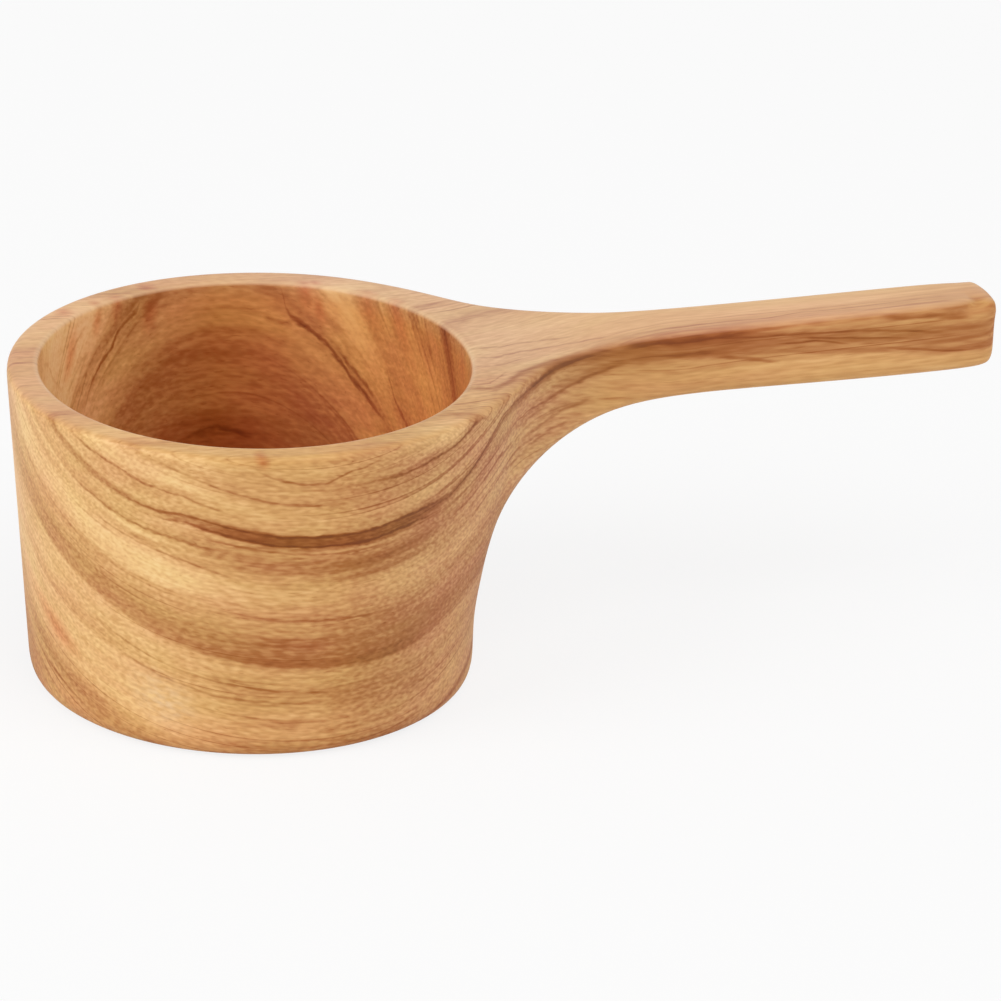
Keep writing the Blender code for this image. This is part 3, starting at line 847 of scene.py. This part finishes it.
def teak():
    """Teak, sanded and oiled: straw to russet growth rings and fine fibres, under a soft satin sheen."""
    material = bpy.data.materials.new("teak_sanded_and_oiled")
    material.use_nodes = True
    tree = material.node_tree
    shader = tree.nodes["Principled BSDF"]
    place = add(tree, "TexCoord", {}).node.outputs["Object"]
    place = add(tree, "VectorMath", {0: place, "Scale": MM_PER_M}, operation="SCALE")
    x, y, z = add(tree, "SeparateXYZ", {"Vector": place}).node.outputs
    along_share = add(tree, "MapRange", {"Value": x, "From Min": FIRST_X, "From Max": LAST_X})

    # The rings wander and have ragged edges
    radius, angle = growth_rings(tree, x, y, z)
    grain_place = grain_axes(tree, x, radius, angle)
    ring = even_rings(tree, along_share, radius)
    for shift in (WANDER, RAGGED):
        ring = add(tree, "Math", {0: ring, 1: grain(tree, grain_place, *shift)}, operation="ADD")
    far = add(tree, "MapRange", {"Value": y, "From Min": NEAR_Y, "From Max": FAR_Y})
    near_side = stations_darkness(tree, x, ring, NEAR_STATIONS)
    far_side = stations_darkness(tree, x, ring, FAR_STATIONS)
    darkness = add(tree, "Mix", {"Factor": far, "A": near_side, "B": far_side})

    # Parts of the surface, each 0 to 1: the flat top and the bowl
    top_level = MM_PER_M * CUP_HEIGHT
    top = add(tree, "MapRange", {"Value": z, "From Min": top_level - TOP_DEPTHS[0],
                                 "From Max": top_level - TOP_DEPTHS[1]})
    from_axis = add(tree, "CombineXYZ", {"X": x, "Y": y})
    from_axis = add(tree, "VectorMath", {0: from_axis}, output=1, operation="LENGTH")
    bowl = add(tree, "MapRange", {"Value": from_axis, "From Min": MOUTH_RADIUS + MOUTH_BLEND,
                                  "From Max": MOUTH_RADIUS - MOUTH_BLEND})
    above_foot = add(tree, "MapRange", {"Value": z, "From Min": BOWL_FROM_Z[0],
                                        "From Max": BOWL_FROM_Z[1]})
    bowl = add(tree, "Math", {0: bowl, 1: above_foot}, operation="MULTIPLY")

    # Darkness, from the painted sheen on the flat top to the marks in the bowl
    painted_sheen = painted_top_sheen(tree, x, ring, top)
    away = add(tree, "MapRange", {"Value": y, "From Min": SHEEN_Y[0], "From Max": SHEEN_Y[1]})
    taken = add(tree, "MapRange", {"Value": away, "To Min": SHEEN_NEAR, "To Max": SHEEN_FAR})
    taken = add(tree, "Math", {0: painted_sheen, 1: taken}, operation="MULTIPLY")
    remaining = add(tree, "Math", {0: 1.0, 1: taken}, operation="SUBTRACT")
    darkness = add(tree, "Math", {0: darkness, 1: remaining}, operation="MULTIPLY")
    darker = between_stops(tree, along_share, TOP_DARKER, FIRST_X, LAST_X)
    darkness = add(tree, "Math", {0: top, 1: darker, 2: darkness}, operation="MULTIPLY_ADD")
    line = growth_lines(tree, x, ring, along_share, far, top, grain_place)
    darkness = add(tree, "Math", {0: darkness, 1: line}, operation="ADD")
    change, depth = fine_grain(tree, x, top, bowl, grain_place)
    darkness = add(tree, "Math", {0: darkness, 1: change}, operation="ADD")
    near_blot, far_blot = [blots(tree, x, ring, spots) for spots in (NEAR_BLOTS, FAR_BLOTS)]
    blot = add(tree, "Mix", {"Factor": far, "A": near_blot, "B": far_blot})
    darkness = add(tree, "Math", {0: blot, 1: BLOT_DARKER, 2: darkness}, operation="MULTIPLY_ADD")
    marks = turning_marks(tree, x, y, z, from_axis)
    darkness = add(tree, "Math", {0: bowl, 1: marks, 2: darkness}, operation="MULTIPLY_ADD")

    # Colour: tones by darkness, reddish blots, the bowl's deeper orange of painted shade and bounce light
    # and the rosy painted sheen on the top, with a drifting hue, and the pale painted highlights over
    # them
    share = add(tree, "MapRange", {"Value": darkness, "From Min": PALEST, "From Max": DARKEST})
    colour = between_stops(tree, share, TONES, PALEST, DARKEST)
    colour = add(tree, "MixRGB", {"Fac": blot, "Color1": colour, "Color2": linear(BLOT_TINT)},
                 blend_type="MULTIPLY")
    # Painted shade and warm bounce light in the bowl
    tint = painted_bowl_shade(tree, x, bowl)
    colour = add(tree, "MixRGB", {"Fac": 1.0, "Color1": colour, "Color2": tint}, blend_type="MULTIPLY")
    # Rosy painted sheen on the flat top
    rosy = add(tree, "Math", {0: painted_sheen, 1: away}, operation="MULTIPLY")
    rosy = add(tree, "Math", {0: rosy, 1: SHEEN_SHARE}, operation="MULTIPLY")
    colour = add(tree, "MixRGB", {"Fac": rosy, "Color1": colour, "Color2": linear(SHEEN_TONE)})
    hue = grain(tree, grain_place, *HUE_DRIFT)
    saturation = between_stops(tree, along_share, GREYED, FIRST_X, LAST_X)
    colour = add(tree, "HueSaturation", {"Color": colour, "Hue": hue, "Saturation": saturation})
    # Painted highlights along the mouth's edge and near the foot
    for painted_highlight in (painted_mouth_highlight(tree, from_axis, top), painted_foot_highlight(tree, x, y, ring, grain_place)):
        colour = add(tree, "MixRGB", {"Fac": painted_highlight, "Color1": colour, "Color2": linear(HIGHLIGHT_TONE)})
    tree.links.new(colour, shader.inputs["Base Color"])

    shader.inputs["Specular IOR Level"].default_value = OIL_SPECULAR
    gloss = add(tree, "MapRange", {"Value": darkness, "To Min": PALE_ROUGHNESS,
                                   "To Max": DARK_ROUGHNESS})
    tree.links.new(gloss, shader.inputs["Roughness"])
    bump = add(tree, "Bump", {"Strength": PORE_STRENGTH, "Distance": PORE_DEPTH, "Height": depth},
               invert=True)
    tree.links.new(bump, shader.inputs["Normal"])
    return material


def floor_finish():
    """Matt white paper that shows the camera mostly its own white, so that the shadow on it is faint."""
    material = bpy.data.materials.new("white_paper_matt")
    material.use_nodes = True
    tree = material.node_tree
    shader = tree.nodes["Principled BSDF"]
    shader.inputs["Base Color"].default_value = linear(PAPER)
    shader.inputs["Roughness"].default_value = PAPER_ROUGHNESS
    shader.inputs["Specular IOR Level"].default_value = 0.0
    own_white = add(tree, "Emission", {"Color": linear(OWN_WHITE), "Strength": 1.0})
    seen = add(tree, "LightPath", {}).node.outputs["Is Camera Ray"]
    share = add(tree, "Math", {0: seen, 1: OWN_WHITE_SHARE}, operation="MULTIPLY")
    paper = add(tree, "MixShader", {0: share, 1: shader.outputs[0], 2: own_white})
    tree.links.new(paper, tree.nodes["Material Output"].inputs["Surface"])
    return material


def add_floor():
    """Wide level floor under the scoop."""
    mesh = bmesh.new()
    bmesh.ops.create_grid(mesh, x_segments=1, y_segments=1, size=FLOOR_SIDE / 2)
    data = bpy.data.meshes.new("studio_floor")
    mesh.to_mesh(data)
    mesh.free()
    floor = bpy.data.objects.new("studio_floor", data)
    floor.location.z = -FLOOR_BELOW
    data.materials.append(floor_finish())
    bpy.context.scene.collection.objects.link(floor)


def add_light():
    """Even dome, white to the eye and softer on the object, and soft lamps left, above and right."""
    world = bpy.data.worlds.new("studio")
    world.use_nodes = True
    tree = world.node_tree
    paths = add(tree, "LightPath", {}).node
    seen = add(tree, "Math", {0: paths.outputs["Is Camera Ray"], 1: paths.outputs["Is Glossy Ray"]},
               operation="MAXIMUM")
    seen = add(tree, "Math", {0: seen, 1: paths.outputs["Is Transmission Ray"]}, operation="MAXIMUM")
    strength = add(tree, "MapRange", {"Value": seen, "To Min": DOME_STRENGTH, "To Max": 1.0})
    background = tree.nodes["Background"]
    background.inputs["Color"].default_value = linear(WHITE)
    tree.links.new(strength, background.inputs["Strength"])
    bpy.context.scene.world = world

    for name, (power, width, azimuth, elevation) in LAMPS.items():
        lamp = bpy.data.lights.new(name, "AREA")
        lamp.shape = "DISK"
        lamp.size = width
        lamp.energy = power
        softbox = bpy.data.objects.new(name, lamp)
        softbox.location = LAMP_DISTANCE * outward(azimuth, elevation)
        softbox.rotation_euler = (-softbox.location).to_track_quat("-Z", "Y").to_euler()
        bpy.context.scene.collection.objects.link(softbox)


def outward(azimuth, elevation):
    """Direction from the scoop, with azimuth 0 towards the front, in degrees."""
    up = math.radians(elevation)
    front = Vector((0.0, -math.cos(up), math.sin(up)))
    return Matrix.Rotation(math.radians(azimuth), 3, "Z") @ front


def add_camera():
    """Camera at the photograph's place, aimed a little along the handle and tilted to the side."""
    data = bpy.data.cameras.new("camera")
    data.lens = FOCAL_LENGTH_MM
    camera = bpy.data.objects.new("camera", data)
    camera.location = CAMERA_PIVOT + CAMERA_DISTANCE * outward(CAMERA_AZIMUTH, CAMERA_ELEVATION)
    aim = (CAMERA_AIM - camera.location).to_track_quat("-Z", "Y").to_matrix()
    roll = Matrix.Rotation(math.radians(CAMERA_ROLL), 3, "Z")
    camera.rotation_euler = (aim @ roll).to_euler()
    bpy.context.scene.collection.objects.link(camera)
    bpy.context.scene.camera = camera


add_camera()
add_floor()
add_light()
scoop = model_scoop()
scoop.data.materials.append(teak())
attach(scoop, "root")
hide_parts("scoop_body")
bpy.context.scene.view_settings.view_transform = "Standard"
